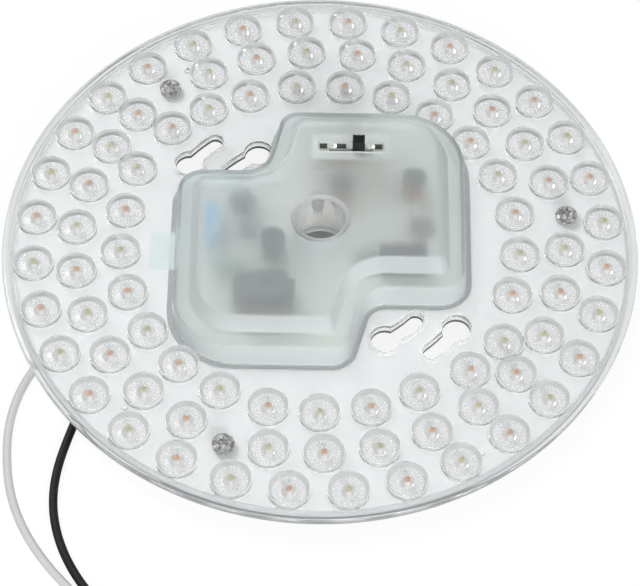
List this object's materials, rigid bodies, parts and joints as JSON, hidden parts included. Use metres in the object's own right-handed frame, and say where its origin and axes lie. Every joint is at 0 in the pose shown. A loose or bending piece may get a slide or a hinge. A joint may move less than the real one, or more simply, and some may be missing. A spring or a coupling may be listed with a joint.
{
  "type": "led board",
  "caption": "Round LED board under a clear moulded lens cover, with a frosted two-step driver cover, centre hole, keyhole slots, slide switch, magnet feet and two mains leads.",
  "frame": {"origin": "middle of the plane that the three magnets stand on, under the centre hole", "axes": "+Z out of the lens face, +Y away from the side where the leads leave, +X to the right, along the slide switch"},
  "size_m": [0.21, 0.2481, 0.0308],
  "materials": {
    "white_solder_mask": "satin",
    "clear_plastic": "polished, clear",
    "frosted_plastic": "frosted, translucent",
    "warm_phosphor": "silicone over a white package",
    "cool_phosphor": "silicone over a white package",
    "white_sheet": "smooth",
    "green_board": "solder mask on glass cloth",
    "tinned_metal": "tinned",
    "chip_black": "glazed",
    "moulded_black": "fine texture",
    "switch_steel": "plated sheet",
    "laminate": "phenolic board",
    "brass": "plain",
    "ferrite": "sintered",
    "bobbin_plastic": "moulded",
    "yellow_tape": "film tape round the turns",
    "copper_wire": "enamelled",
    "capacitor_sleeve": "shrunk sleeve",
    "film_box": "cast box",
    "varistor_blue": "dipped",
    "resistor_body": "lacquered",
    "bright_steel": "nickel plated",
    "magnet_nickel": "nickel plated",
    "clamp_plastic": "moulded",
    "white_insulation": "satin",
    "black_insulation": "satin"
  },
  "bodies": {
    "module": {"led_board": "white_solder_mask", "lens_cover": "clear_plastic", "driver_cover": "frosted_plastic", "warm_leds": "warm_phosphor", "cool_leds": "cool_phosphor", "insulation_tray": "white_sheet", "driver_board": "green_board", "board_pins": "tinned_metal", "switch_board": "green_board", "switch_board_pins": "tinned_metal", "chip_resistors": "chip_black", "switch_case": "switch_steel", "switch_base": "laminate", "switch_pins": "tinned_metal", "transformer_core": "ferrite", "transformer_bobbin": "bobbin_plastic", "transformer_winding": "yellow_tape", "input_capacitor": "capacitor_sleeve", "output_capacitor": "capacitor_sleeve", "film_capacitor": "film_box", "varistor": "varistor_blue", "fuse_resistor": "resistor_body", "bridge_rectifier": "chip_black", "driver_ic": "chip_black", "power_transistor": "chip_black", "signal_transistor": "chip_black", "power_choke_core": "ferrite", "power_choke_winding": "copper_wire", "line_choke_core": "ferrite", "line_choke_winding": "copper_wire", "screw_washers": "bright_steel", "lead_clamp": "clamp_plastic", "white_lead": "white_insulation", "black_lead": "black_insulation", "white_lead_end": "tinned_metal", "black_lead_end": "tinned_metal", "magnet_cup_1": "bright_steel", "ring_magnet_1": "magnet_nickel", "standoff_1": "bright_steel", "magnet_screw_1": "bright_steel", "magnet_cup_2": "bright_steel", "ring_magnet_2": "magnet_nickel", "standoff_2": "bright_steel", "magnet_screw_2": "bright_steel", "magnet_cup_3": "bright_steel", "ring_magnet_3": "magnet_nickel", "standoff_3": "bright_steel", "magnet_screw_3": "bright_steel"},
    "knob": {"switch_knob": "moulded_black", "switch_wiper": "brass"}
  },
  "joints": [
    {"name": "knob_slide", "type": "slide", "parent": "module", "child": "knob", "axis": [1, 0, 0], "range_m": [-0.0075, 0.0025]}
  ]
}
